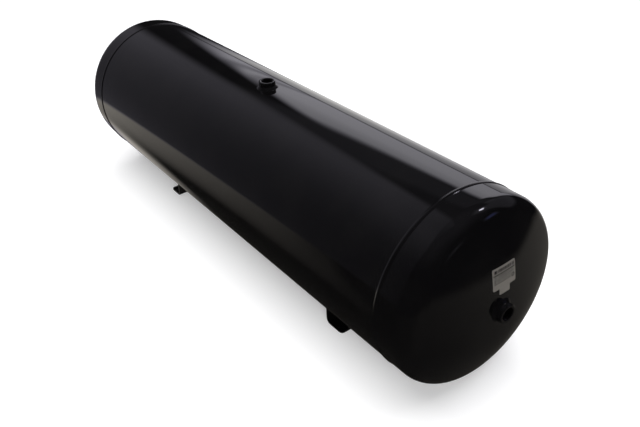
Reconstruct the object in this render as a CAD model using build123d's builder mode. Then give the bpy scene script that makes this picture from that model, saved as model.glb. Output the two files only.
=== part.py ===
from build123d import *
import math
import os

# An 80 litre horizontal air receiver: a rolled shell, two dished heads, four
# threaded port bosses, two mounting feet, the weld beads between them and the
# rating label. Millimetres. X runs along the tank, +X to the labelled front
# head, +Z up. The origin is on the floor plane of the feet, below the middle.

# Driving dimensions of the vessel
TANK_DIAMETER = 310.0
PLATE = 3.0
SEAM_SPACING = 956.0
HEAD_SKIRT = 36.0
CROWN_RADIUS = 330.0
KNUCKLE_RADIUS = 0.1 * TANK_DIAMETER
AXIS_HEIGHT = 175.0

# Joggled head edge and girth weld
LIP_LENGTH = 11.0
LIP_CLEARANCE = 0.1
ROOT_GAP = 3.0
GIRTH_BEAD_WIDTH = 8.0
GIRTH_BEAD_HEIGHT = 1.4

# Butt weld along the rolled shell
SEAM_ANGLE = -30.0
SEAM_GAP = 2.0
SEAM_BEAD_WIDTH = 7.0
SEAM_BEAD_HEIGHT = 1.2

# Port bosses, tapped M22 x 1.5 and bored here to the thread's minor diameter
BOSS_DIAMETER = 31.0
THREAD_MINOR_DIAMETER = 20.4
MOUTH_DIAMETER = 23.0
BOSS_PROUD = 12.0
BOSS_INSIDE = 2.0
BOSS_RIM_CHAMFER = 1.0
BOSS_BACK_CHAMFER = 0.5
BOSS_HOLE_CLEARANCE = 0.2
BOSS_WELD_LEG = 4.5

# A fillet bead swells beyond its flat chord to this share of its leg
BEAD_FULLNESS = 0.56

# Mounting feet
FOOT_FACE_X = 276.0
FOOT_TIP_X = 318.0
FOOT_WIDTH = 180.0
FOOT_PLATE = 4.0
FOOT_BEND_RADIUS = 6.0
FOOT_EAR_HEIGHT = 44.0
FOOT_EAR_RADIUS = 4.0
FOOT_CORNER_RADIUS = 7.0
FOOT_HOLE_DIAMETER = 11.0
FOOT_HOLE_X = 300.0
FOOT_HOLE_SPACING = 120.0
FOOT_WELD_LEG = 5.0
FOOT_WELD_START = 8.0
FOOT_WELD_ARC = 22.0

# Rating label on the crown of the front head
LABEL_WIDTH = 46.0
LABEL_HEIGHT = 34.0
LABEL_THICKNESS = 0.3
LABEL_Y = 3.5
LABEL_ABOVE_AXIS = 57.0
LABEL_CORNER = 2.5
TAB_WIDTH = 21.0
TAB_HEIGHT = 10.0
TAB_CORNER = 1.5

# Derived sizes
tank_radius = TANK_DIAMETER / 2
bore_radius = tank_radius - PLATE
seam_x = SEAM_SPACING / 2
shell_end_x = seam_x - ROOT_GAP / 2
skirt_start_x = seam_x + ROOT_GAP / 2
knuckle_x = seam_x + HEAD_SKIRT
lip_radius = bore_radius - LIP_CLEARANCE
crown_angle = math.degrees(
    math.asin((tank_radius - KNUCKLE_RADIUS) / (CROWN_RADIUS - KNUCKLE_RADIUS))
)
crown_centre_x = knuckle_x - (CROWN_RADIUS - KNUCKLE_RADIUS) * math.cos(math.radians(crown_angle))
apex_x = crown_centre_x + CROWN_RADIUS
boss_radius = BOSS_DIAMETER / 2
minor_radius = THREAD_MINOR_DIAMETER / 2
mouth_chamfer = (MOUTH_DIAMETER - THREAD_MINOR_DIAMETER) / 2
boss_length = BOSS_PROUD + PLATE + BOSS_INSIDE
drain_length = BOSS_PROUD + PLATE

# The tank's axis, its lengthwise section and the planes that parts stand on
tank_axis = Axis((0, 0, AXIS_HEIGHT), (1, 0, 0))
section = Plane(origin=(0, 0, AXIS_HEIGHT), x_dir=(1, 0, 0), z_dir=(0, -1, 0))
across = Plane(origin=(0, 0, AXIS_HEIGHT), x_dir=(0, 1, 0), z_dir=(1, 0, 0))
seam_section = across.rotated((SEAM_ANGLE, 0, 0))
top_seat = Plane(origin=(0, 0, AXIS_HEIGHT + tank_radius), x_dir=(1, 0, 0), z_dir=(0, 0, 1))
drain_seat = Plane(origin=(0, 0, AXIS_HEIGHT - tank_radius), x_dir=(1, 0, 0), z_dir=(0, 0, -1))
front_seat = Plane(origin=(apex_x, 0, AXIS_HEIGHT), x_dir=(0, 1, 0), z_dir=(1, 0, 0))

os.makedirs("parts", exist_ok=True)


def write(part, name):
    """Label a finished piece and write it as one STEP file."""
    part.label = name
    export_step(part, f"parts/{name}.step")


def dished_curve(radius_loss):
    """Knuckle and crown of the head, from the skirt to the tank's axis."""
    CenterArc(
        (knuckle_x, tank_radius - KNUCKLE_RADIUS),
        KNUCKLE_RADIUS - radius_loss,
        90,
        crown_angle - 90,
    )
    CenterArc((crown_centre_x, 0), CROWN_RADIUS - radius_loss, crown_angle, -crown_angle)


def threaded_boss(seat, length):
    """Round socket, bored right through, with its outer rim and both mouths chamfered."""
    outward = Axis(seat.origin, seat.z_dir)
    with BuildPart() as boss:
        with BuildSketch(seat.offset(BOSS_PROUD - length)):
            Circle(boss_radius)
            Circle(minor_radius, mode=Mode.SUBTRACT)
        extrude(amount=length)
        outer_rims = boss.faces().sort_by(outward)[-1].edges().sort_by(SortBy.RADIUS)
        back_rims = boss.faces().sort_by(outward)[0].edges().sort_by(SortBy.RADIUS)
        chamfer(outer_rims[0], mouth_chamfer)
        chamfer(outer_rims[1], BOSS_RIM_CHAMFER)
        chamfer(back_rims, BOSS_BACK_CHAMFER)
    return boss.part


def boss_weld(seat, vessel):
    """Fillet bead around a boss, cut to the curve of the vessel it stands on."""
    toe = boss_radius + BOSS_WELD_LEG
    bulge = BOSS_WELD_LEG * BEAD_FULLNESS
    radial = Plane(origin=seat.origin, x_dir=seat.x_dir, z_dir=-seat.y_dir)
    with BuildPart() as weld:
        with BuildSketch(radial):
            with BuildLine():
                ThreePointArc(
                    (boss_radius, BOSS_WELD_LEG),
                    (boss_radius + bulge, bulge),
                    (toe, 0),
                )
                Polyline(
                    (toe, 0),
                    (toe, -PLATE),
                    (boss_radius, -PLATE),
                    (boss_radius, BOSS_WELD_LEG),
                )
            make_face()
        revolve(axis=Axis(seat.origin, seat.z_dir))
        add(vessel, mode=Mode.SUBTRACT)
    return weld.part


def foot_weld(side):
    """Fillet bead between a foot's inner face and the shell, on one side of the bottom."""
    start = -90 + side * (FOOT_WELD_START + FOOT_WELD_ARC / 2) - FOOT_WELD_ARC / 2
    profile_plane = section.rotated((start - 90, 0, 0))
    toe_x = FOOT_FACE_X - FOOT_WELD_LEG
    bulge = FOOT_WELD_LEG * BEAD_FULLNESS
    with BuildPart() as weld:
        with BuildSketch(profile_plane):
            with BuildLine():
                Polyline(
                    (FOOT_FACE_X, tank_radius + FOOT_WELD_LEG),
                    (FOOT_FACE_X, tank_radius),
                    (toe_x, tank_radius),
                )
                ThreePointArc(
                    (toe_x, tank_radius),
                    (FOOT_FACE_X - bulge, tank_radius + bulge),
                    (FOOT_FACE_X, tank_radius + FOOT_WELD_LEG),
                )
            make_face()
        revolve(axis=tank_axis, revolution_arc=FOOT_WELD_ARC)
    return weld.part


# Outer forms of the vessel, used to fit other pieces against it
with BuildPart() as shell_form:
    with BuildSketch(across.offset(-seam_x)):
        Circle(tank_radius)
    extrude(amount=SEAM_SPACING)

with BuildPart(Plane((crown_centre_x, 0, AXIS_HEIGHT))) as crown_form:
    Sphere(CROWN_RADIUS)

# Rolled shell: a tube with a narrow butt gap along its length and two port holes
with BuildPart() as shell:
    with BuildSketch(across.offset(-shell_end_x)):
        Circle(tank_radius)
        Circle(bore_radius, mode=Mode.SUBTRACT)
    extrude(amount=2 * shell_end_x)
    with BuildSketch(seam_section.offset(-shell_end_x)):
        with Locations((tank_radius, 0)):
            Rectangle(3 * PLATE, SEAM_GAP)
    extrude(amount=2 * shell_end_x, mode=Mode.SUBTRACT)
    with BuildSketch(Plane.XY):
        Circle(boss_radius + BOSS_HOLE_CLEARANCE)
    extrude(amount=AXIS_HEIGHT + TANK_DIAMETER, mode=Mode.SUBTRACT)
write(shell.part, "shell")

# Dished heads: the joggled lip slides into the shell, the skirt is flush with it
with BuildPart() as front_head:
    with BuildSketch(section):
        with BuildLine():
            Polyline(
                (apex_x - PLATE, 0),
                (apex_x, 0),
            )
            dished_curve(0)
            Polyline(
                (knuckle_x, tank_radius),
                (skirt_start_x, tank_radius),
                (shell_end_x, lip_radius),
                (shell_end_x - LIP_LENGTH, lip_radius),
                (shell_end_x - LIP_LENGTH, lip_radius - PLATE),
                (shell_end_x, lip_radius - PLATE),
                (skirt_start_x, bore_radius),
                (knuckle_x, bore_radius),
            )
            dished_curve(PLATE)
        make_face()
    revolve(axis=tank_axis)
    with BuildSketch(front_seat.offset(-CROWN_RADIUS)):
        Circle(boss_radius + BOSS_HOLE_CLEARANCE)
    extrude(amount=2 * CROWN_RADIUS, mode=Mode.SUBTRACT)
write(front_head.part, "front_head")

# Girth weld: fills the groove between shell and skirt and stands proud of both
with BuildPart() as front_girth_weld:
    with BuildSketch(section):
        with BuildLine():
            Polyline(
                (seam_x - GIRTH_BEAD_WIDTH / 2, tank_radius),
                (shell_end_x, tank_radius),
                (shell_end_x, lip_radius),
                (skirt_start_x, tank_radius),
                (seam_x + GIRTH_BEAD_WIDTH / 2, tank_radius),
            )
            ThreePointArc(
                (seam_x + GIRTH_BEAD_WIDTH / 2, tank_radius),
                (seam_x, tank_radius + GIRTH_BEAD_HEIGHT),
                (seam_x - GIRTH_BEAD_WIDTH / 2, tank_radius),
            )
        make_face()
    revolve(axis=tank_axis)
write(front_girth_weld.part, "front_girth_weld")

# Longitudinal weld: a root in the shell's gap under a low crowned bead
half_bead = math.degrees(SEAM_BEAD_WIDTH / 2 / tank_radius)
bead_end_x = seam_x - GIRTH_BEAD_WIDTH / 2
with BuildPart() as seam_weld:
    with BuildSketch(seam_section.offset(-shell_end_x)):
        Circle(tank_radius)
        Circle(bore_radius, mode=Mode.SUBTRACT)
        with Locations((tank_radius, 0)):
            Rectangle(3 * PLATE, SEAM_GAP, mode=Mode.INTERSECT)
    extrude(amount=2 * shell_end_x)
    with BuildSketch(seam_section.offset(-bead_end_x)):
        with BuildLine():
            toe_line = CenterArc((0, 0), tank_radius, -half_bead, 2 * half_bead)
            ThreePointArc(toe_line @ 1, (tank_radius + SEAM_BEAD_HEIGHT, 0), toe_line @ 0)
        make_face()
    extrude(amount=2 * bead_end_x)
write(seam_weld.part, "seam_weld")

# Port bosses and the fillet beads around them
top_boss = threaded_boss(top_seat, boss_length)
drain_boss = threaded_boss(drain_seat, drain_length)
front_boss = threaded_boss(front_seat, boss_length)
front_boss_bead = boss_weld(front_seat, crown_form.part)
write(top_boss, "top_port_boss")
write(drain_boss, "drain_port_boss")
write(front_boss, "front_port_boss")
write(boss_weld(top_seat, shell_form.part), "top_boss_weld")
write(boss_weld(drain_seat, shell_form.part), "drain_boss_weld")
write(front_boss_bead, "front_boss_weld")

# Mounting foot: bent plate, saddled to the shell, with a flange to bolt down
with BuildPart() as front_foot:
    with BuildSketch(Plane.XZ.offset(-FOOT_WIDTH / 2)) as foot_profile:
        with BuildLine():
            Polyline(
                (FOOT_FACE_X, FOOT_EAR_HEIGHT),
                (FOOT_FACE_X, 0),
                (FOOT_TIP_X, 0),
                (FOOT_TIP_X, FOOT_PLATE),
                (FOOT_FACE_X + FOOT_PLATE, FOOT_PLATE),
                (FOOT_FACE_X + FOOT_PLATE, FOOT_EAR_HEIGHT),
                close=True,
            )
        make_face()
        bend = foot_profile.vertices().sort_by_distance((FOOT_FACE_X, 0, 0))
        fillet(bend[0], FOOT_BEND_RADIUS + FOOT_PLATE)
        bend = foot_profile.vertices().sort_by_distance((FOOT_FACE_X + FOOT_PLATE, FOOT_PLATE))
        fillet(bend[0], FOOT_BEND_RADIUS)
    extrude(amount=FOOT_WIDTH)
    upright = front_foot.edges().filter_by(Axis.Z)
    fillet(upright.filter_by_position(Axis.X, FOOT_TIP_X, FOOT_TIP_X), FOOT_CORNER_RADIUS)
    ears = front_foot.edges().filter_by(Axis.X)
    fillet(ears.filter_by_position(Axis.Z, FOOT_EAR_HEIGHT, FOOT_EAR_HEIGHT), FOOT_EAR_RADIUS)
    add(shell_form.part, mode=Mode.SUBTRACT)
    with BuildSketch(Plane.XY):
        with Locations((FOOT_HOLE_X, 0)):
            with GridLocations(0, FOOT_HOLE_SPACING, 1, 2):
                Circle(FOOT_HOLE_DIAMETER / 2)
    extrude(amount=FOOT_PLATE, mode=Mode.SUBTRACT)

front_foot_weld_right = foot_weld(-1)
front_foot_weld_left = foot_weld(1)
write(front_foot.part, "front_foot")
write(front_foot_weld_right, "front_foot_weld_right")
write(front_foot_weld_left, "front_foot_weld_left")

# Pieces at the rear end mirror those at the front
for piece, name in (
    (front_head.part, "rear_head"),
    (front_girth_weld.part, "rear_girth_weld"),
    (front_boss, "rear_port_boss"),
    (front_boss_bead, "rear_boss_weld"),
    (front_foot.part, "rear_foot"),
    (front_foot_weld_right, "rear_foot_weld_right"),
    (front_foot_weld_left, "rear_foot_weld_left"),
):
    with BuildPart() as twin:
        mirror(piece, about=Plane.YZ)
    write(twin.part, name)

# Rating label: thin foil bent over the crown, with a tab below its lower edge
with BuildPart(Plane((crown_centre_x, 0, AXIS_HEIGHT))) as label_skin:
    Sphere(CROWN_RADIUS + LABEL_THICKNESS)
    Sphere(CROWN_RADIUS, mode=Mode.SUBTRACT)

with BuildPart() as rating_label:
    with BuildSketch(front_seat.offset(-KNUCKLE_RADIUS)) as label_outline:
        with Locations((LABEL_Y, LABEL_ABOVE_AXIS)):
            RectangleRounded(LABEL_WIDTH, LABEL_HEIGHT, LABEL_CORNER)
        with Locations((LABEL_Y, LABEL_ABOVE_AXIS - LABEL_HEIGHT / 2)):
            Rectangle(TAB_WIDTH, 2 * TAB_HEIGHT)
        tab_corners = label_outline.vertices().group_by(Axis.Z)[0]
        fillet(tab_corners, TAB_CORNER)
    extrude(amount=2 * KNUCKLE_RADIUS)
    add(label_skin.part, mode=Mode.INTERSECT)
write(rating_label.part, "rating_label")
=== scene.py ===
import math

import bmesh
import bpy
from mathutils import Matrix, Vector, noise


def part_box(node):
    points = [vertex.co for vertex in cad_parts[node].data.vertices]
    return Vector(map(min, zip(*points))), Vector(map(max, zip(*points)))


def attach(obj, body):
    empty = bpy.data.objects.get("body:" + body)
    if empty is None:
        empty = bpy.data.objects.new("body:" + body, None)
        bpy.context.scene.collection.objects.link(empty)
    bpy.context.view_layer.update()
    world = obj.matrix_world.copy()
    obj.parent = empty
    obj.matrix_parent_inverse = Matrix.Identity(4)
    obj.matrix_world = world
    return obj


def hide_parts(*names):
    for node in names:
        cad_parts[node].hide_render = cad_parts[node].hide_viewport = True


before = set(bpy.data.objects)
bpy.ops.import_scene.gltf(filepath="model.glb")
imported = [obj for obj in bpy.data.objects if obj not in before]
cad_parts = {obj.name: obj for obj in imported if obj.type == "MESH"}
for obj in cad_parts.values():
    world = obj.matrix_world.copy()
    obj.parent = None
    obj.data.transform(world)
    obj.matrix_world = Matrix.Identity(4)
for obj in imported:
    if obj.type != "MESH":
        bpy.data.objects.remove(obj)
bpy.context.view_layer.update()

# An 80 litre air receiver in gloss black paint. Metres, in the CAD frame: X along
# the tank, +X to the labelled head, +Z up, with the feet standing on Z = 0.

MM = 0.001
HALF_MM = 0.5 * MM


def snapped(value):
    """A size read from a CAD box, to the nearest half millimetre."""
    return round(value / HALF_MM) * HALF_MM


# Sizes read from the CAD pieces
shell_low, shell_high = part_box("shell")
top_boss_low, top_boss_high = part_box("top_port_boss")
drain_low, drain_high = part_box("drain_port_boss")
foot_low, foot_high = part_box("front_foot")
label_low, label_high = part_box("rating_label")

TANK_RADIUS = snapped((shell_high.z - shell_low.z) / 2)
AXIS_HEIGHT = snapped((shell_high.z + shell_low.z) / 2)
SHELL_END = snapped(shell_high.x)
BOSS_RADIUS = snapped(top_boss_high.x)
BOSS_PROUD = snapped(top_boss_high.z) - AXIS_HEIGHT - TANK_RADIUS
BOSS_LENGTH = snapped(top_boss_high.z - top_boss_low.z)
DRAIN_LENGTH = snapped(drain_high.z - drain_low.z)
FOOT_FACE_X = snapped(foot_low.x)
FOOT_TIP_X = snapped(foot_high.x)
FOOT_HALF_WIDTH = snapped(foot_high.y)
FOOT_HEIGHT = snapped(foot_high.z)
LABEL_WIDTH = snapped(label_high.y - label_low.y)
LABEL_Y = snapped((label_high.y + label_low.y) / 2)
LABEL_TOP_Z = snapped(label_high.z)

# Sizes that no box gives, the same as the CAD design's
PLATE = 3 * MM
ROOT_GAP = 3 * MM
LIP_CLEARANCE = 0.1 * MM
HOLE_CLEARANCE = 0.2 * MM
HEAD_SKIRT = 36 * MM
CROWN_RADIUS = 330 * MM
KNUCKLE_RADIUS = 0.1 * 2 * TANK_RADIUS
LIP_LENGTH = 11 * MM
GIRTH_BEAD = (8 * MM, 1.4 * MM)
SEAM_BEAD = (7 * MM, 1.2 * MM)
SEAM_ANGLE = math.radians(-30)
THREAD_MINOR = 10.2 * MM
THREAD_MAJOR = 11 * MM
THREAD_PITCH = 1.5 * MM
MOUTH_RADIUS = 11.5 * MM
RIM_CHAMFER = 1 * MM
BACK_CHAMFER = 0.5 * MM
BOSS_WELD_LEG = 4.5 * MM
FOOT_PLATE = 4 * MM
FOOT_BEND = 6 * MM
FOOT_EAR_RADIUS = 4 * MM
FOOT_CORNER = 7 * MM
FOOT_HOLE_RADIUS = 5.5 * MM
FOOT_HOLE_X = 300 * MM
FOOT_HOLE_Y = 60 * MM
FOOT_WELD_LEG = 5 * MM
FOOT_WELD_START = math.radians(8)
FOOT_WELD_ARC = math.radians(22)
LABEL_THICKNESS = 0.3 * MM
LABEL_CORNER = 2.5 * MM
TAB_SIZE = (21 * MM, 10 * MM)
TAB_CORNER = 1.5 * MM

# How far welds sink into the plates, and how far the foil stays off the paint
WELD_SINK = 0.05 * MM
FOIL_GAP = 0.02 * MM

lip_radius = TANK_RADIUS - PLATE - LIP_CLEARANCE
seam_x = SHELL_END + ROOT_GAP / 2
knuckle_x = seam_x + HEAD_SKIRT
crown_angle = math.asin((TANK_RADIUS - KNUCKLE_RADIUS) / (CROWN_RADIUS - KNUCKLE_RADIUS))
crown_centre_x = knuckle_x - (CROWN_RADIUS - KNUCKLE_RADIUS) * math.cos(crown_angle)
apex_x = crown_centre_x + CROWN_RADIUS
label_bottom_z = snapped(label_low.z) + TAB_SIZE[1]
foot_outer_bend = FOOT_BEND + FOOT_PLATE
foot_middle_bend = FOOT_BEND + FOOT_PLATE / 2
foot_flat = FOOT_TIP_X - FOOT_FACE_X - foot_outer_bend
foot_turned = foot_middle_bend * math.pi / 2


# ---- Shader fields -------------------------------------------------------------


class Field:
    """A number that varies over a surface or the sky: a node's output, with arithmetic."""

    def __init__(self, tree, socket):
        self.tree = tree
        self.socket = socket

    def math(self, operation, other=None):
        node = self.tree.nodes.new("ShaderNodeMath")
        node.operation = operation
        self.tree.links.new(self.socket, node.inputs[0])
        if isinstance(other, Field):
            self.tree.links.new(other.socket, node.inputs[1])
        elif other is not None:
            node.inputs[1].default_value = other
        return Field(self.tree, node.outputs[0])

    def __add__(self, other):
        return self.math("ADD", other)

    def __sub__(self, other):
        return self.math("SUBTRACT", other)

    def __mul__(self, other):
        return self.math("MULTIPLY", other)

    def mapped(self, low, high, at_low, at_high, curve="LINEAR"):
        """Runs from at_low to at_high while the field goes from low to high."""
        node = self.tree.nodes.new("ShaderNodeMapRange")
        node.interpolation_type = curve
        self.tree.links.new(self.socket, node.inputs["Value"])
        node.inputs["From Min"].default_value = low
        node.inputs["From Max"].default_value = high
        node.inputs["To Min"].default_value = at_low
        node.inputs["To Max"].default_value = at_high
        return Field(self.tree, node.outputs["Result"])

    def rise(self, start, end):
        """0 up to start and 1 beyond end."""
        return self.mapped(start, end, 0.0, 1.0, "SMOOTHSTEP")

    def fade(self, start, end):
        """1 up to start and 0 beyond end."""
        return self.mapped(start, end, 1.0, 0.0, "SMOOTHSTEP")

    def above(self, level, edge):
        """0 below the level and 1 above it, over an edge this wide."""
        return self.rise(level - edge / 2, level + edge / 2)

    def inside(self, low, high, edge):
        """1 between two levels and 0 outside them."""
        return self.above(low, edge) * self.fade(high - edge / 2, high + edge / 2)

    def inverse(self):
        return self * -1.0 + 1.0


def split(tree, vector_socket):
    """The three parts of a vector as fields."""
    node = tree.nodes.new("ShaderNodeSeparateXYZ")
    tree.links.new(vector_socket, node.inputs[0])
    return [Field(tree, socket) for socket in node.outputs]


def object_place(tree):
    return tree.nodes.new("ShaderNodeTexCoord").outputs["Object"]


def noise_field(tree, scale, detail=2.0, stretch=(1, 1, 1)):
    """Soft noise from 0 to 1 in the object's own space, with features 1 / scale metres wide."""
    mapping = tree.nodes.new("ShaderNodeMapping")
    mapping.inputs["Scale"].default_value = stretch
    texture = tree.nodes.new("ShaderNodeTexNoise")
    texture.inputs["Scale"].default_value = scale
    texture.inputs["Detail"].default_value = detail
    tree.links.new(object_place(tree), mapping.inputs["Vector"])
    tree.links.new(mapping.outputs["Vector"], texture.inputs["Vector"])
    return Field(tree, texture.outputs["Fac"])


def colour_between(tree, field, low, high):
    """A colour that runs from low to high with a field. Either may be a node's output."""
    mix = tree.nodes.new("ShaderNodeMix")
    mix.data_type = "RGBA"
    tree.links.new(field.socket, mix.inputs["Factor"])
    for socket_name, colour in (("A", low), ("B", high)):
        if isinstance(colour, bpy.types.NodeSocket):
            tree.links.new(colour, mix.inputs[socket_name])
        else:
            mix.inputs[socket_name].default_value = (*colour, 1)
    return next(socket for socket in mix.outputs if socket.type == "RGBA")


def add_bump(tree, shader, layers):
    """Chains bumps, each a field and its height in metres, into a shader's normal."""
    previous = None
    for field, height in layers:
        bump = tree.nodes.new("ShaderNodeBump")
        bump.inputs["Distance"].default_value = height
        tree.links.new(field.socket, bump.inputs["Height"])
        if previous:
            tree.links.new(previous, bump.inputs["Normal"])
        previous = bump.outputs["Normal"]
    tree.links.new(previous, shader.inputs["Normal"])


def new_material(name, **values):
    """A Principled material, with its node tree and its shader."""
    material = bpy.data.materials.new(name)
    material.use_nodes = True
    tree = material.node_tree
    shader = tree.nodes["Principled BSDF"]
    for socket_name, value in values.items():
        shader.inputs[socket_name.replace("_", " ")].default_value = value
    return material, tree, shader


# ---- Materials -----------------------------------------------------------------

PAINT_BLACK = (0.0018, 0.0017, 0.0019)
PAINT_DUSTY = (0.0032, 0.003, 0.003)
PAINT_RUBBED = (0.09, 0.085, 0.08)
STEEL_OILED = (0.05, 0.047, 0.045)
STEEL_CLEAN = (0.17, 0.16, 0.15)
# Label foil grey: partly the foil's own grey, partly painted shade that darkens it
FOIL_GREY_AND_SHADE = (0.54, 0.515, 0.48)
INK_BLACK = (0.02, 0.02, 0.02)

ENAMEL_IOR = 1.5
THIN_COAT_IOR = 1.38


def gloss_paint(name, ior, roughness, peel_height, wave_height):
    """Gloss black enamel: orange peel, a slow wave of the plate under it, a film of dust."""
    material, tree, shader = new_material(name, IOR=ior)
    specks = noise_field(tree, scale=900, detail=3.0)
    drifts = noise_field(tree, scale=14).above(0.52, edge=0.3)
    colour = colour_between(tree, specks * drifts, PAINT_BLACK, PAINT_DUSTY)
    tree.links.new(colour, shader.inputs["Base Color"])
    haze = noise_field(tree, scale=22, detail=3.0, stretch=(0.4, 1, 1))
    finish = haze.mapped(0.3, 0.75, at_low=0.75 * roughness, at_high=1.35 * roughness)
    tree.links.new(finish.socket, shader.inputs["Roughness"])
    wave = noise_field(tree, scale=9, detail=1.0, stretch=(0.5, 1, 1))
    orange_peel = noise_field(tree, scale=260, detail=1.0)
    add_bump(tree, shader, [(wave, wave_height), (orange_peel, peel_height)])
    return material


def worn_paint(name, wear_height):
    """The feet's black paint: duller, rubbed grey where the plate meets the floor."""
    material, tree, shader = new_material(name, IOR=ENAMEL_IOR)
    height = split(tree, object_place(tree))[2]
    low_down = height.mapped(0.0, wear_height, at_low=1.0, at_high=0.0)
    scuffs = noise_field(tree, scale=240, detail=4.0).above(0.54, edge=0.12)
    colour = colour_between(tree, low_down * scuffs, PAINT_BLACK, PAINT_RUBBED)
    tree.links.new(colour, shader.inputs["Base Color"])
    finish = noise_field(tree, scale=60, detail=3.0).mapped(0.3, 0.7, at_low=0.16, at_high=0.3)
    tree.links.new(finish.socket, shader.inputs["Roughness"])
    grain = noise_field(tree, scale=500)
    add_bump(tree, shader, [(grain, 0.02 * MM)])
    return material


def thread_steel():
    """Bare cut steel inside a port, darkened in patches by oil."""
    material, tree, shader = new_material("thread_steel", Metallic=1.0)
    stain = noise_field(tree, scale=420, detail=4.0)
    clean = stain.mapped(0.35, 0.7, at_low=0.0, at_high=1.0)
    tree.links.new(colour_between(tree, clean, STEEL_OILED, STEEL_CLEAN), shader.inputs["Base Color"])
    finish = stain.mapped(0.3, 0.7, at_low=0.32, at_high=0.5)
    tree.links.new(finish.socket, shader.inputs["Roughness"])
    tool_marks = noise_field(tree, scale=1500)
    add_bump(tree, shader, [(tool_marks, 0.01 * MM)])
    return material


def printed_foil(centre):
    """Satin aluminium foil: a heading, a rule, rows of meaningless dashes and a ring.
    Places on it are in millimetres from its centre."""
    material, tree, shader = new_material("printed_foil", Metallic=0.86)
    y, z = split(tree, object_place(tree))[1:]
    across = (y - centre.y) * (1 / MM)
    up = (z - centre.z) * (1 / MM)
    half_print = 20.5
    half_rule = 21.5
    note_start = 12.5
    row_gap = 1.2
    row_shift = 5.7
    blur = 0.2

    def dashes(rows, row_height, dash_scale, cover):
        """Rows of dashes between two heights, each row with dashes of its own."""
        turns = (up - rows[0]) * (1 / (row_height + row_gap))
        row = turns.math("FLOOR")
        in_row = turns.math("FRACT").inside(0.0, row_height / (row_height + row_gap), edge=0.04)
        line = tree.nodes.new("ShaderNodeCombineXYZ")
        tree.links.new((across * dash_scale).socket, line.inputs[0])
        tree.links.new((row * row_shift).socket, line.inputs[1])
        texture = tree.nodes.new("ShaderNodeTexNoise")
        texture.inputs["Scale"].default_value = 1.0
        texture.inputs["Detail"].default_value = 1.0
        tree.links.new(line.outputs[0], texture.inputs["Vector"])
        word = Field(tree, texture.outputs["Fac"]).above(1 - cover, edge=0.03)
        printed_rows = in_row * word * up.inside(*rows, edge=0.1)
        return printed_rows * across.inside(-half_print, half_print, blur)

    heading = dashes((8.8, 14.6), row_height=5.2, dash_scale=0.42, cover=0.53)
    rule = up.inside(5.5, 7.4, edge=0.1) * across.inside(-half_rule, half_rule, blur)
    small_print = dashes((-7.4, 4.6), row_height=1.4, dash_scale=0.9, cover=0.54)
    small_print = small_print * across.inside(-half_print, note_start, blur)
    note = dashes((0.4, 4.6), row_height=1.4, dash_scale=0.9, cover=0.54)
    note = note * across.inside(note_start, half_print, blur)
    ring_x = across - 17.4
    ring_y = up + 5.4
    ring = (ring_x * ring_x + ring_y * ring_y).math("SQRT").inside(1.6, 3.4, edge=0.15)
    ink = heading.math("MAXIMUM", small_print).math("MAXIMUM", note)
    ink = ink.math("MAXIMUM", rule).math("MAXIMUM", ring)
    patches = noise_field(tree, scale=2500).mapped(0.2, 0.7, at_low=0.85, at_high=1.0)
    # The foil's base colour holds painted shade as well as its own grey; the ink is print
    tree.links.new(colour_between(tree, ink * patches, FOIL_GREY_AND_SHADE, INK_BLACK), shader.inputs["Base Color"])
    finish = noise_field(tree, scale=300, detail=3.0).mapped(0.3, 0.7, at_low=0.28, at_high=0.42)
    tree.links.new(finish.socket, shader.inputs["Roughness"])
    creases = noise_field(tree, scale=120)
    add_bump(tree, shader, [(creases, 0.05 * MM)])
    return material


vessel_paint = gloss_paint(
    "vessel_paint", ENAMEL_IOR, roughness=0.055, peel_height=0.0015 * MM, wave_height=0.12 * MM
)
weld_paint = gloss_paint(
    "weld_paint", THIN_COAT_IOR, roughness=0.09, peel_height=0.012 * MM, wave_height=0.0
)
boss_paint = gloss_paint(
    "boss_paint", THIN_COAT_IOR, roughness=0.06, peel_height=0.008 * MM, wave_height=0.0
)
foot_paint = worn_paint("foot_paint", wear_height=2.5 * MM)
bare_thread = thread_steel()


# ---- Mesh building -------------------------------------------------------------

SHARP_ANGLE = math.radians(32)


def add_grid(mesh, points, wrap_rows=False, wrap_columns=False, cap_ends=False):
    """Quads between rows of points. Wrapping joins the last row or column to the first."""
    rows = [[mesh.verts.new(point) for point in row] for row in points]
    count = len(rows[0])
    faces = []
    for i in range(len(rows) if wrap_rows else len(rows) - 1):
        this_row = rows[i]
        next_row = rows[(i + 1) % len(rows)]
        for j in range(count if wrap_columns else count - 1):
            k = (j + 1) % count
            faces.append(mesh.faces.new((this_row[j], next_row[j], next_row[k], this_row[k])))
    if cap_ends:
        faces.append(mesh.faces.new(rows[0]))
        faces.append(mesh.faces.new(list(reversed(rows[-1]))))
    return faces


def evaluated_mesh(piece):
    """A piece's mesh with its modifiers applied."""
    bpy.context.view_layer.update()
    depsgraph = bpy.context.evaluated_depsgraph_get()
    return bpy.data.meshes.new_from_object(piece.evaluated_get(depsgraph))


def new_object(name, mesh):
    """Turns a bmesh into an object whose faces all point outward."""
    bmesh.ops.recalc_face_normals(mesh, faces=mesh.faces)
    data = bpy.data.meshes.new(name)
    mesh.to_mesh(data)
    mesh.free()
    piece = bpy.data.objects.new(name, data)
    bpy.context.scene.collection.objects.link(piece)
    return piece


def finish_piece(piece, node, slot, *materials):
    """Shades a piece, gives it its materials, hides its CAD node and hangs the piece on the root body."""
    piece.data.shade_smooth()
    piece.data.set_sharp_from_angle(angle=SHARP_ANGLE)
    for material in materials:
        piece.data.materials.append(material)
    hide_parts(node)
    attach(piece, "root")


def cut_with(piece, cutter):
    """Cuts one object out of another and removes the cutter."""
    modifier = piece.modifiers.new("cut", "BOOLEAN")
    modifier.operation = "DIFFERENCE"
    modifier.solver = "EXACT"
    modifier.object = cutter
    cut_mesh = evaluated_mesh(piece)
    piece.modifiers.clear()
    piece.data = cut_mesh
    bpy.data.objects.remove(cutter)


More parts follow.
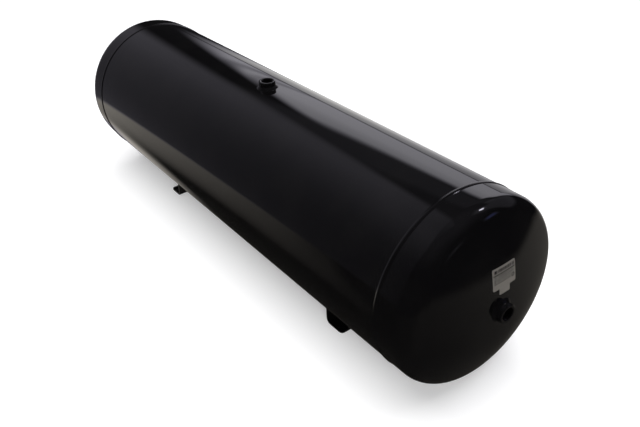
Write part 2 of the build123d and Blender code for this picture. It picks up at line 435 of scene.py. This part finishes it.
def around_tank(x, radius, angle):
    """A point by its place along the tank, its distance from the axis and its angle from +Y."""
    return Vector((x, radius * math.cos(angle), AXIS_HEIGHT + radius * math.sin(angle)))


def arc(centre, radius, start, end, steps):
    """Points of an arc in the (x, radius) half plane, start and end in radians."""
    angles = [start + (end - start) * i / steps for i in range(steps + 1)]
    return [
        (centre[0] + radius * math.cos(angle), centre[1] + radius * math.sin(angle))
        for angle in angles
    ]


def revolved(name, profile, steps):
    """A closed profile of (x, radius) points turned about the tank's axis."""
    mesh = bmesh.new()
    points = [
        [around_tank(x, radius, 2 * math.pi * i / steps) for x, radius in profile]
        for i in range(steps)
    ]
    add_grid(mesh, points, wrap_rows=True, wrap_columns=True)
    return new_object(name, mesh)


# ---- Vessel --------------------------------------------------------------------

TURN_STEPS = 288
KNUCKLE_STEPS = 32
CROWN_STEPS = 40

port_hole_radius = BOSS_RADIUS + HOLE_CLEARANCE


def port_cutters():
    """Upright cylinders where the top and drain bosses pass through the shell."""
    mesh = bmesh.new()
    for height in (AXIS_HEIGHT - TANK_RADIUS, AXIS_HEIGHT + TANK_RADIUS):
        bmesh.ops.create_cone(
            mesh,
            cap_ends=True,
            segments=64,
            radius1=port_hole_radius,
            radius2=port_hole_radius,
            depth=20 * MM,
            matrix=Matrix.Translation((0, 0, height)),
        )
    return new_object("port_cutters", mesh)


def build_shell():
    """Rolled tube with its two port holes. Rows crowd near the holes to keep shading even."""
    near_holes = [4 * MM * i for i in range(9)]
    beyond = [40 * MM, 60 * MM, 120 * MM, 240 * MM, 360 * MM, SHELL_END]
    stations = [-x for x in reversed(near_holes[1:] + beyond)] + near_holes + beyond
    profile = [(x, TANK_RADIUS) for x in stations]
    profile += [(x, TANK_RADIUS - PLATE) for x in reversed(stations)]
    shell = revolved("shell_rolled", profile, TURN_STEPS)
    cut_with(shell, port_cutters())
    finish_piece(shell, "shell", "vessel_paint", vessel_paint)


def head_surface(inset):
    """Knuckle and crown of a head, from the skirt to the port hole."""
    crown = CROWN_RADIUS - inset
    knuckle_centre = (knuckle_x, TANK_RADIUS - KNUCKLE_RADIUS)
    hole_angle = math.asin(port_hole_radius / crown)
    knuckle = arc(knuckle_centre, KNUCKLE_RADIUS - inset, math.pi / 2, crown_angle, KNUCKLE_STEPS)
    dish = arc((crown_centre_x, 0), crown, crown_angle, hole_angle, CROWN_STEPS)
    return knuckle + dish[1:]


def build_head(side, name):
    """Dished head with a joggled lip that slides into the shell."""
    skirt_x = seam_x + ROOT_GAP / 2
    mid_skirt_x = skirt_x + HEAD_SKIRT / 2
    outside = [
        (SHELL_END - LIP_LENGTH, lip_radius),
        (SHELL_END, lip_radius),
        (skirt_x, TANK_RADIUS),
        (mid_skirt_x, TANK_RADIUS),
    ]
    inside = [
        (mid_skirt_x, TANK_RADIUS - PLATE),
        (skirt_x, TANK_RADIUS - PLATE),
        (SHELL_END, lip_radius - PLATE),
        (SHELL_END - LIP_LENGTH, lip_radius - PLATE),
    ]
    profile = outside + head_surface(0) + list(reversed(head_surface(PLATE))) + inside
    head = revolved(name + "_dished", [(side * x, radius) for x, radius in profile], TURN_STEPS)
    finish_piece(head, name, "vessel_paint", vessel_paint)


build_shell()
build_head(1, "front_head")
build_head(-1, "rear_head")


# ---- Weld beads ----------------------------------------------------------------

RIPPLE_STEPS = 6
RIPPLE_PITCH = 2.6 * MM
BOSS_RIPPLE_PITCH = 2.4 * MM

# How often the width of each kind of bead wanders along it
GIRTH_WANDER = 9
SEAM_WANDER = 12
BOSS_WANDER = 2.2


def rippled(turns, across, depth, bow):
    """Height factor of a bead's overlapping freeze lines: round crests and sharp troughs,
    this deep, bowed forward between the toes at across = -1 and 1."""
    crest = math.sqrt(abs(math.sin(math.pi * (turns - bow * (1 - across * across)))))
    return 1 - depth + depth * crest


def crowned_bead(size, turns, wander, steps=8):
    """Offsets (across, height) of a low bead's crown from toe to toe."""
    width, height = size
    crown = []
    for i in range(steps + 1):
        u = 2 * i / steps - 1
        lift = (1 - u * u) * height * rippled(turns, u, depth=0.12, bow=0.55)
        crown.append((u * width / 2 * (1 + 0.06 * wander), lift * (1 + 0.1 * wander)))
    return crown


def fillet_bead(leg, turns, fullness, steps):
    """Offsets (out, up) of a fillet bead's face, from its upper toe to its outer one."""
    face = []
    for i in range(steps + 1):
        turn = math.pi / 2 * i / steps
        ripples = rippled(turns, 2 * i / steps - 1, depth=0.16, bow=0.4)
        swell = fullness * leg * math.sin(2 * turn) * ripples
        face.append((leg * (1 - math.cos(turn)) + swell, leg * (1 - math.sin(turn)) + swell))
    return face


def build_girth_weld(side, name):
    """Bead round the tank over the groove between shell and head."""
    steps = round(2 * math.pi * TANK_RADIUS / RIPPLE_PITCH) * RIPPLE_STEPS
    root_radius = TANK_RADIUS - 0.1 * MM
    rows = []
    for i in range(steps):
        angle = 2 * math.pi * i / steps
        place = Vector((GIRTH_WANDER * math.cos(angle), GIRTH_WANDER * math.sin(angle), side))
        wander = noise.noise(place)
        crown = crowned_bead(GIRTH_BEAD, i / RIPPLE_STEPS, wander)
        profile = [(seam_x + across, TANK_RADIUS - WELD_SINK + lift) for across, lift in crown]
        profile += [
            (seam_x + ROOT_GAP / 2, root_radius),
            (SHELL_END, lip_radius),
            (SHELL_END, root_radius),
        ]
        rows.append([around_tank(side * x, radius, angle) for x, radius in profile])
    mesh = bmesh.new()
    add_grid(mesh, rows, wrap_rows=True, wrap_columns=True)
    finish_piece(new_object(name + "_bead", mesh), name, "weld_paint", weld_paint)


def build_seam_weld():
    """Straight bead along the back of the shell, from girth weld to girth weld."""
    half_length = seam_x - GIRTH_BEAD[0] / 2
    half_root = 1 * MM
    steps = round(2 * half_length / RIPPLE_PITCH) * RIPPLE_STEPS
    rows = []
    for i in range(steps + 1):
        x = -half_length + 2 * half_length * i / steps
        wander = noise.noise(Vector((SEAM_WANDER * x, 0, 5)))
        bead = [
            (across, TANK_RADIUS - WELD_SINK + lift)
            for across, lift in crowned_bead(SEAM_BEAD, i / RIPPLE_STEPS, wander)
        ]
        bead += [(half_root, TANK_RADIUS - PLATE), (-half_root, TANK_RADIUS - PLATE)]
        rows.append([around_tank(x, radius, SEAM_ANGLE + across / TANK_RADIUS) for across, radius in bead])
    mesh = bmesh.new()
    add_grid(mesh, rows, wrap_columns=True, cap_ends=True)
    finish_piece(new_object("seam_weld_bead", mesh), "seam_weld", "weld_paint", weld_paint)


def shell_drop(x, y):
    """How far the shell lies below the plane that touches it under a boss."""
    return math.sqrt(TANK_RADIUS ** 2 - y * y) - TANK_RADIUS


def crown_drop(x, y):
    """How far the crown of a head lies below the plane that touches its middle."""
    return math.sqrt(CROWN_RADIUS ** 2 - x * x - y * y) - CROWN_RADIUS


def build_boss_weld(seat, drop, name):
    """Fillet bead round a boss. It follows the curve of the vessel and shows its ripples."""
    middle_radius = BOSS_RADIUS + BOSS_WELD_LEG / 2
    steps = round(2 * math.pi * middle_radius / BOSS_RIPPLE_PITCH) * RIPPLE_STEPS
    root_depth = 0.6 * MM
    rows = []
    for i in range(steps):
        angle = 2 * math.pi * i / steps
        heading = Vector((math.cos(angle), math.sin(angle), 0))
        wander = noise.noise(heading * BOSS_WANDER + Vector((0, 0, len(name))))
        leg = BOSS_WELD_LEG * (1 + 0.07 * wander)
        face = fillet_bead(leg, i / RIPPLE_STEPS, fullness=0.22, steps=9)
        profile = [(BOSS_RADIUS + out, up - WELD_SINK) for out, up in face]
        profile += [(BOSS_RADIUS + leg * 0.6, -root_depth), (BOSS_RADIUS - WELD_SINK, -root_depth)]
        row = []
        for radius, up in profile:
            point = heading * radius
            point.z = drop(point.x, point.y) + up
            row.append(seat @ point)
        rows.append(row)
    mesh = bmesh.new()
    add_grid(mesh, rows, wrap_rows=True, wrap_columns=True)
    finish_piece(new_object(name + "_bead", mesh), name, "weld_paint", weld_paint)


def build_foot_weld(end, side, name):
    """Fillet bead between a foot's inner face and the shell, tapered at both ends."""
    steps = round(FOOT_WELD_ARC * TANK_RADIUS / RIPPLE_PITCH) * RIPPLE_STEPS
    first = -math.pi / 2 + side * FOOT_WELD_START
    root_radius = TANK_RADIUS - 0.3 * MM
    taper_rate = 14
    blunt_end = 0.02
    rows = []
    for i in range(steps + 1):
        along = i / steps
        taper = math.sqrt(max(blunt_end, min(1.0, taper_rate * along, taper_rate * (1 - along))))
        angle = first + side * FOOT_WELD_ARC * along
        face = fillet_bead(FOOT_WELD_LEG * taper, i / RIPPLE_STEPS, fullness=0.2, steps=7)
        profile = [(FOOT_FACE_X - back, TANK_RADIUS - WELD_SINK + down) for back, down in face]
        profile.append((FOOT_FACE_X + WELD_SINK, root_radius))
        rows.append([around_tank(end * x, radius, angle) for x, radius in profile])
    mesh = bmesh.new()
    add_grid(mesh, rows, wrap_columns=True, cap_ends=True)
    finish_piece(new_object(name + "_bead", mesh), name, "weld_paint", weld_paint)


top_seat = Matrix.Translation((0, 0, AXIS_HEIGHT + TANK_RADIUS))
drain_seat = Matrix.Translation((0, 0, AXIS_HEIGHT - TANK_RADIUS)) @ Matrix.Rotation(math.pi, 4, "X")
front_seat = Matrix.Translation((apex_x, 0, AXIS_HEIGHT)) @ Matrix.Rotation(math.pi / 2, 4, "Y")
rear_seat = Matrix.Translation((-apex_x, 0, AXIS_HEIGHT)) @ Matrix.Rotation(-math.pi / 2, 4, "Y")

build_girth_weld(1, "front_girth_weld")
build_girth_weld(-1, "rear_girth_weld")
build_seam_weld()
build_boss_weld(top_seat, shell_drop, "top_boss_weld")
build_boss_weld(drain_seat, shell_drop, "drain_boss_weld")
build_boss_weld(front_seat, crown_drop, "front_boss_weld")
build_boss_weld(rear_seat, crown_drop, "rear_boss_weld")
for end, foot_name in ((1, "front_foot"), (-1, "rear_foot")):
    build_foot_weld(end, 1, foot_name + "_weld_left")
    build_foot_weld(end, -1, foot_name + "_weld_right")


# ---- Port bosses ---------------------------------------------------------------

BOSS_STEPS = 96
ROWS_PER_THREAD = 10


def thread_radius(height, angle):
    """Radius of an internal 60 degree thread with flat crests and roots."""
    phase = (height / THREAD_PITCH - angle / (2 * math.pi)) % 1.0
    crest, flank = 0.25, 0.3125
    if phase < crest:
        share = 0.0
    elif phase < crest + flank:
        share = (phase - crest) / flank
    elif phase < 1 - flank:
        share = 1.0
    else:
        share = (1 - phase) / flank
    return THREAD_MINOR + (THREAD_MAJOR - THREAD_MINOR) * share


def build_boss(seat, length, name):
    """Turned socket with a softened chamfer round its rim and a real thread in its bore."""
    back = BOSS_PROUD - length
    soft = 0.25 * MM
    soft_step = 0.05 * MM
    soft_drop = 0.08 * MM
    mouth_drop = 0.07 * MM
    unthreaded = 0.3 * MM
    outside = [
        (THREAD_MINOR + BACK_CHAMFER, back),
        (BOSS_RADIUS - BACK_CHAMFER, back),
        (BOSS_RADIUS, back + BACK_CHAMFER),
        (BOSS_RADIUS, BOSS_PROUD - RIM_CHAMFER - soft),
        (BOSS_RADIUS - soft_drop, BOSS_PROUD - RIM_CHAMFER - soft_step),
        (BOSS_RADIUS - RIM_CHAMFER - soft_step, BOSS_PROUD - soft_drop),
        (BOSS_RADIUS - RIM_CHAMFER - soft, BOSS_PROUD),
        (MOUTH_RADIUS + soft, BOSS_PROUD),
        (MOUTH_RADIUS, BOSS_PROUD - mouth_drop),
    ]
    bore_rows = round((length - unthreaded) / THREAD_PITCH * ROWS_PER_THREAD)
    rows = []
    for i in range(BOSS_STEPS):
        angle = 2 * math.pi * i / BOSS_STEPS
        ring = list(outside)
        for j in range(1, bore_rows):
            height = BOSS_PROUD - mouth_drop - (length - mouth_drop) * j / bore_rows
            mouth_cone = MOUTH_RADIUS - (BOSS_PROUD - height)
            back_cone = THREAD_MINOR + BACK_CHAMFER - (height - back)
            ring.append((max(thread_radius(height, angle), mouth_cone, back_cone), height))
        heading = Vector((math.cos(angle), math.sin(angle), 0))
        rows.append([seat @ (heading * radius + Vector((0, 0, height))) for radius, height in ring])
    mesh = bmesh.new()
    faces = add_grid(mesh, rows, wrap_rows=True, wrap_columns=True)
    ring_count = len(rows[0])
    mouth_rows = round((MOUTH_RADIUS - THREAD_MINOR) / THREAD_PITCH * ROWS_PER_THREAD)
    thread_start = len(outside) + mouth_rows - 1
    for index, face in enumerate(faces):
        face.material_index = 1 if thread_start <= index % ring_count < ring_count - 1 else 0
    finish_piece(new_object(name + "_turned", mesh), name, "boss_paint", boss_paint, bare_thread)


build_boss(top_seat, BOSS_LENGTH, "top_port_boss")
build_boss(drain_seat, DRAIN_LENGTH, "drain_port_boss")
build_boss(front_seat, BOSS_LENGTH, "front_port_boss")
build_boss(rear_seat, BOSS_LENGTH, "rear_port_boss")


# ---- Feet ----------------------------------------------------------------------


def bent_point(along, side_out, y, end):
    """A point of the bent plate: along runs from the flange's tip, round the bend and up.
    side_out is 0 on the face below and outside the bend, and 1 on the other."""
    lift = FOOT_PLATE * side_out
    if along <= foot_flat:
        x = FOOT_TIP_X - along
        z = lift
    elif along <= foot_flat + foot_turned:
        turn = (along - foot_flat) / foot_middle_bend
        radius = foot_outer_bend - lift
        x = FOOT_FACE_X + foot_outer_bend - radius * math.sin(turn)
        z = foot_outer_bend - radius * math.cos(turn)
    else:
        x = FOOT_FACE_X + lift
        z = foot_outer_bend + along - foot_flat - foot_turned
    return Vector((end * x, y, z))


def foot_columns():
    """Places across a foot, crowded into its rounded corners and the saddle's ends."""
    spacing = 5 * MM
    corner_steps = 8
    saddle_end = math.sqrt(TANK_RADIUS ** 2 - (AXIS_HEIGHT - FOOT_HEIGHT) ** 2)
    even_columns = math.floor((FOOT_HALF_WIDTH - FOOT_CORNER) / spacing) + 1
    half = [spacing * i for i in range(even_columns)]
    half += [saddle_end - 0.01 * MM, saddle_end + 0.01 * MM]
    for i in range(1, corner_steps + 1):
        half.append(FOOT_HALF_WIDTH - FOOT_CORNER * (1 - math.sin(math.pi / 2 * i / corner_steps)))
    half = sorted(y for y in half if y <= FOOT_HALF_WIDTH)
    return [-y for y in reversed(half[1:])] + half


def corner_drop(distance, radius):
    """How far a rounded corner falls back at this distance in from its side."""
    if distance >= radius:
        return 0.0
    return radius - math.sqrt(radius ** 2 - (radius - distance) ** 2)


def foot_grid(end):
    """A foot's closed mesh without its bolt holes: a ring round the plate at each column."""
    flange_steps = 6
    bend_steps = 10
    upright_steps = 4
    bend_top = foot_flat + foot_turned
    rows = []
    for y in foot_columns():
        inset = FOOT_HALF_WIDTH - abs(y)
        tip = corner_drop(inset, FOOT_CORNER)
        top = FOOT_HEIGHT - corner_drop(inset, FOOT_EAR_RADIUS)
        if abs(y) < TANK_RADIUS:
            top = min(top, AXIS_HEIGHT - math.sqrt(TANK_RADIUS ** 2 - y * y))
        rise = top - foot_outer_bend
        stops = [tip + (foot_flat - tip) * i / flange_steps for i in range(flange_steps)]
        stops += [foot_flat + foot_turned * i / bend_steps for i in range(bend_steps)]
        stops += [bend_top + rise * i / upright_steps for i in range(upright_steps + 1)]
        under = [bent_point(along, 0, y, end) for along in stops]
        over = [bent_point(along, 1, y, end) for along in stops]
        rows.append(under + list(reversed(over)))
    mesh = bmesh.new()
    add_grid(mesh, rows, wrap_columns=True)
    half_count = len(rows[0]) // 2
    mesh.verts.ensure_lookup_table()
    for row_start in (0, len(mesh.verts) - 2 * half_count):
        for j in range(half_count - 1):
            corners = (j, j + 1, 2 * half_count - 2 - j, 2 * half_count - 1 - j)
            mesh.faces.new([mesh.verts[row_start + corner] for corner in corners])
    return mesh


def bolt_hole_cutters(end):
    """Upright cylinders through a foot's flange."""
    mesh = bmesh.new()
    for y in (-FOOT_HOLE_Y, FOOT_HOLE_Y):
        bmesh.ops.create_cone(
            mesh,
            cap_ends=True,
            segments=48,
            radius1=FOOT_HOLE_RADIUS,
            radius2=FOOT_HOLE_RADIUS,
            depth=6 * FOOT_PLATE,
            matrix=Matrix.Translation((end * FOOT_HOLE_X, y, 0)),
        )
    return new_object("bolt_hole_cutters", mesh)


def build_foot(end, name):
    """Bent plate foot: flange with two bolt holes, upright saddled to the shell."""
    foot = new_object(name + "_bent", foot_grid(end))
    cut_with(foot, bolt_hole_cutters(end))
    bevel = foot.modifiers.new("soft_edges", "BEVEL")
    bevel.width = 0.5 * MM
    bevel.segments = 2
    bevel.limit_method = "ANGLE"
    bevel.angle_limit = math.radians(40)
    bevelled = evaluated_mesh(foot)
    foot.modifiers.clear()
    foot.data = bevelled
    finish_piece(foot, name, "foot_paint", foot_paint)


build_foot(1, "front_foot")
build_foot(-1, "rear_foot")


# ---- Rating label --------------------------------------------------------------


def on_crown(y, z, lift):
    """A point over the front crown at a height above its surface."""
    away = Vector((0, y, z - AXIS_HEIGHT))
    radius = CROWN_RADIUS + lift
    return Vector((crown_centre_x + math.sqrt(radius ** 2 - away.length_squared), y, z))


def label_columns():
    """Places across half the label and its mirror image, crowded into the corners."""
    half_width = LABEL_WIDTH / 2
    half_tab = TAB_SIZE[0] / 2
    shoulder = half_width - LABEL_CORNER - half_tab
    spacing = 1.5 * MM
    tab_corner_steps = 5
    corner_steps = 7
    shoulder_steps = 6
    offsets = {half_tab, half_width}
    offsets |= {half_tab - TAB_CORNER * i / tab_corner_steps for i in range(tab_corner_steps + 1)}
    for i in range(corner_steps + 1):
        offsets.add(half_width - LABEL_CORNER * (1 - math.sin(math.pi / 2 * i / corner_steps)))
    offsets |= {spacing * i for i in range(6)}
    offsets |= {half_tab + shoulder * i / shoulder_steps for i in range(shoulder_steps)}
    half = sorted(round(offset, 7) for offset in offsets)
    return [-offset for offset in reversed(half) if offset > 0] + half


def build_label():
    """Foil with rounded corners and a tab below, bent over the crown."""
    half_width = LABEL_WIDTH / 2
    half_tab = TAB_SIZE[0] / 2
    body_rows = 14
    tab_rows = 5
    rounding = 1e-6
    mesh = bmesh.new()
    body = []
    tab = []
    for offset in label_columns():
        y = LABEL_Y + offset
        inset = corner_drop(half_width - abs(offset), LABEL_CORNER)
        low = label_bottom_z + inset
        step = (LABEL_TOP_Z - inset - low) / body_rows
        body.append([on_crown(y, low + step * i, FOIL_GAP) for i in range(body_rows + 1)])
        if abs(offset) <= half_tab + rounding:
            low = label_bottom_z - TAB_SIZE[1] + corner_drop(half_tab - abs(offset), TAB_CORNER)
            step = (label_bottom_z - low) / tab_rows
            tab.append([on_crown(y, low + step * i, FOIL_GAP) for i in range(tab_rows + 1)])
    add_grid(mesh, body)
    add_grid(mesh, tab)
    bmesh.ops.remove_doubles(mesh, verts=mesh.verts, dist=0.01 * MM)
    crown_centre = Vector((crown_centre_x, 0, AXIS_HEIGHT))
    grown = bmesh.ops.extrude_face_region(mesh, geom=mesh.faces[:], use_keep_orig=True)
    for vert in (item for item in grown["geom"] if isinstance(item, bmesh.types.BMVert)):
        vert.co += (vert.co - crown_centre).normalized() * (LABEL_THICKNESS - FOIL_GAP)
    label = new_object("rating_label_foil", mesh)
    foil = printed_foil(Vector((0, LABEL_Y, (LABEL_TOP_Z + label_bottom_z) / 2)))
    finish_piece(label, "rating_label", "label_foil", foil)


build_label()


# ---- Studio --------------------------------------------------------------------

STUDIO_RADIUS = 9.0
WHITE = (1, 1, 1)
BLACK = (0, 0, 0)
BACKDROP_GLOW = 0.97
FLOOR_ALBEDO = 0.8
FLOOR_GLOW = 0.34
FLOOR_FADE = (1.4, 5.0)


def build_floor():
    """A wide round pale floor that lightens into the backdrop with distance. Glossy rays
    pass it, so that the paint mirrors only the sky shader."""
    mesh = bmesh.new()
    bmesh.ops.create_circle(mesh, cap_ends=True, segments=96, radius=STUDIO_RADIUS)
    floor = new_object("studio_floor", mesh)
    material, tree, shader = new_material("studio_floor", Roughness=0.9)
    x, y = split(tree, object_place(tree))[:2]
    ragged = noise_field(tree, scale=3) * 0.05
    distance = (x * x + y * y).math("SQRT") + ragged
    far = distance.rise(*FLOOR_FADE)
    colour = colour_between(tree, far, (FLOOR_ALBEDO,) * 3, BLACK)
    tree.links.new(colour, shader.inputs["Base Color"])
    glow = far.mapped(0, 1, at_low=FLOOR_GLOW, at_high=BACKDROP_GLOW)
    tree.links.new(glow.socket, shader.inputs["Emission Strength"])
    shader.inputs["Emission Color"].default_value = (*WHITE, 1)
    floor.data.materials.append(material)
    floor.visible_glossy = False


def build_backdrop():
    """A pale dome behind everything, which only the camera sees."""
    mesh = bmesh.new()
    bmesh.ops.create_uvsphere(mesh, u_segments=64, v_segments=32, radius=STUDIO_RADIUS)
    backdrop = new_object("studio_backdrop", mesh)
    backdrop.data.shade_smooth()
    colours = {"Base_Color": (*BLACK, 1), "Emission_Color": (*WHITE, 1)}
    material = new_material("studio_backdrop", Emission_Strength=BACKDROP_GLOW, Roughness=1.0, **colours)[0]
    backdrop.data.materials.append(material)
    for ray in ("diffuse", "glossy", "transmission", "volume_scatter", "shadow"):
        setattr(backdrop, "visible_" + ray, False)


def build_area_light(name, place, target, size, watts):
    """A square soft light aimed at a point. The paint doesn't mirror it."""
    data = bpy.data.lights.new(name, "AREA")
    data.size = size
    data.energy = watts
    light = bpy.data.objects.new(name, data)
    light.location = place
    light.rotation_euler = (Vector(target) - Vector(place)).to_track_quat("-Z", "Y").to_euler()
    light.visible_glossy = False
    bpy.context.scene.collection.objects.link(light)


def build_camera():
    """A camera near the labelled end, above it and to its right."""
    data = bpy.data.cameras.new("camera")
    data.sensor_width = 36
    data.lens = 39.613
    camera = bpy.data.objects.new("camera", data)
    camera.location = (1.03516, -0.63225, AXIS_HEIGHT + 0.66486)
    camera.rotation_euler = [math.radians(angle) for angle in (56.715, 2.426, 53.008)]
    bpy.context.scene.collection.objects.link(camera)
    bpy.context.scene.camera = camera


# ---- Mirrored room -------------------------------------------------------------

# The paint mirrors a room that only the sky shader holds. A direction in it is a bearing,
# from -X towards +Y, and a height above the horizon, both in degrees. Unless it says
# otherwise, a function below gives the radiance of one thing in every direction.

ROOM_GLOW = 0.011
GROUND_GLOW = 0.014
ROOM_TINT = (0.98, 0.945, 1.1)
GROUND_TINT = (1.07, 1.0, 0.9)
WINDOW_TINT = (1.0, 0.98, 1.07)
TABLE_TINT = (1.03, 1.02, 0.98)
BLUE_TINT = (0.6, 0.7, 2.0)


def patch(bearing, height, bearings, heights, edges, radiance):
    """A rectangle of even light with soft edges, this wide across and upward."""
    return bearing.inside(*bearings, edges[0]) * height.inside(*heights, edges[1]) * radiance


def dim_wall(bearing, height):
    """A wall that brightens towards the window, and darkens where it meets the ceiling."""
    light = bearing.mapped(-62, 0, at_low=0.0, at_high=0.27) * bearing.fade(8, 19)
    light = light * height.mapped(0, 45, at_low=0.85, at_high=1.08)
    return light * height.mapped(48, 62, 1.0, 0.25, "SMOOTHSTEP") + ROOM_GLOW


def far_strip(bearing, height):
    """A low pale strip at the far end of the room."""
    light = bearing.mapped(160, 168, 0.0, 1.0) * bearing.mapped(172, 180, 1.0, 0.0)
    return light * height.inside(4, 15, edge=5) * 0.1


def dim_room(bearing, height):
    """The unlit parts of the room: wall, lintel, ceiling, a partition and the far strip."""
    lintel = patch(bearing, height, (12, 80), (33, 47), edges=(6, 5), radiance=0.06)
    ceiling = height.mapped(32, 70, at_low=0.0, at_high=0.075)
    partition = patch(bearing, height, (73, 116), (13, 46), edges=(8, 7), radiance=0.14)
    return dim_wall(bearing, height) + lintel + ceiling + partition + far_strip(bearing, height)


def ceiling_lamp(bearing, height):
    """A small bright lamp in a soft halo."""
    lamp = patch(bearing, height, (101, 109), (52, 57.5), edges=(2.0, 1.5), radiance=15.0)
    return lamp + patch(bearing, height, (93, 120), (47, 64), edges=(14, 10), radiance=0.2)


def between_jambs(bearing, height):
    """1 between the window's jambs, which lean a little."""
    return (bearing + height * 0.15).inside(33, 72, edge=6)


def window_pane(bearing, height):
    """The window: brighter upward from its sill, with two dim slanting lines of blinds."""
    head_rail = (height + bearing * 0.15).fade(34.5, 40.5)
    sill = height.above(4.4, edge=1.0)
    slant = bearing + height * 0.62
    blinds = slant.inside(40.4, 42.2, edge=1.5) + slant.inside(43.6, 45.0, edge=1.5)
    pane = between_jambs(bearing, height) * head_rail * sill
    return pane * height.mapped(4, 20, at_low=0.7, at_high=1.2) * (blinds * -0.45 + 1.0)


def pale_table(bearing, height):
    """A table under the window, brighter towards the tank, seen past its slanting edge."""
    near_edge = (height + bearing * 0.42).above(-1.8, edge=5.0)
    table = between_jambs(bearing, height) * near_edge * height.fade(2.4, 3.6)
    table = table * height.mapped(0, -16, at_low=0.72, at_high=0.95)
    return table * bearing.mapped(42, 56, at_low=1.0, at_high=0.62)


def floor_edge(bearing):
    """The height at which the floor begins: lowest, so nearest, at bearings from 0 to 45."""
    sweep = (bearing + 50).math("MAXIMUM", (bearing + 50) * -0.254).math("MINIMUM", 50.0)
    far_side = (bearing * -1.0 + 95).math("MAXIMUM", bearing.mapped(98, 125, 5, 26))
    sweep = sweep.math("MINIMUM", far_side)
    return (sweep * sweep * 0.0055 + sweep * 0.1 + 10.5) * -1.0


def dark_floor(bearing, across, below):
    """The floor, by how far a direction is below its edge: a glow along the edge, and the
    rest paler where the direction's Y, across, is high."""
    reach = bearing.mapped(-45, -10, at_low=30, at_high=10.5)
    glow = below.math("DIVIDE", reach).mapped(0.0, 1.0, 1.0, 0.0).math("POWER", 1.5)
    glow = glow * bearing.mapped(-50, -20, at_low=0.0, at_high=0.85) * bearing.fade(5, 28)
    pale = (across * 0.11 + 0.06).math("MAXIMUM", 0.01) * below.rise(0, 7)
    pale = pale * below.mapped(8, 38, at_low=1.0, at_high=0.2)
    pale = pale * bearing.inside(-75, 60, edge=30).inverse()
    return glow + pale + GROUND_GLOW


def build_sky():
    """The world shader: a dim room with its lamps above the floor's edge, the floor below
    it, and the window and table over both."""
    world = bpy.data.worlds.new("studio_sky")
    bpy.context.scene.world = world
    world.use_nodes = True
    tree = world.node_tree
    x, y, z = split(tree, tree.nodes.new("ShaderNodeTexCoord").outputs["Generated"])
    bearing = y.math("ARCTAN2", x * -1.0) * math.degrees(1)
    height = z.math("ARCSINE") * math.degrees(1)

    pane = window_pane(bearing, height)
    table = pale_table(bearing, height)
    blue_lamp = patch(bearing, height, (130, 142), (18, 27), edges=(8.0, 6.0), radiance=0.3)
    room = dim_room(bearing, height) + ceiling_lamp(bearing, height) + blue_lamp
    below = floor_edge(bearing) - height
    on_floor = below.rise(-0.5, 2.0)
    behind = room * on_floor.inverse() + dark_floor(bearing, y, below) * on_floor
    bright = pane + table
    uncovered = bright.math("MINIMUM", 1.0).inverse()
    radiance = behind * uncovered + bright

    tint = colour_between(tree, on_floor * uncovered, ROOM_TINT, GROUND_TINT)
    tint = colour_between(tree, pane, tint, WINDOW_TINT)
    tint = colour_between(tree, table, tint, TABLE_TINT)
    tint = colour_between(tree, blue_lamp * 4.0, tint, BLUE_TINT)
    background = tree.nodes["Background"]
    tree.links.new(tint, background.inputs["Color"])
    tree.links.new(radiance.socket, background.inputs["Strength"])


build_floor()
build_backdrop()
build_area_light("overhead_light", place=(0, 0, 3.4), target=(0, 0, 0), size=4.5, watts=210)
build_area_light("front_light", place=(2.6, -1.6, 1.4), target=(0, 0, 0.2), size=1.6, watts=45)
build_sky()
build_camera()
bpy.context.scene.view_settings.view_transform = "Standard"
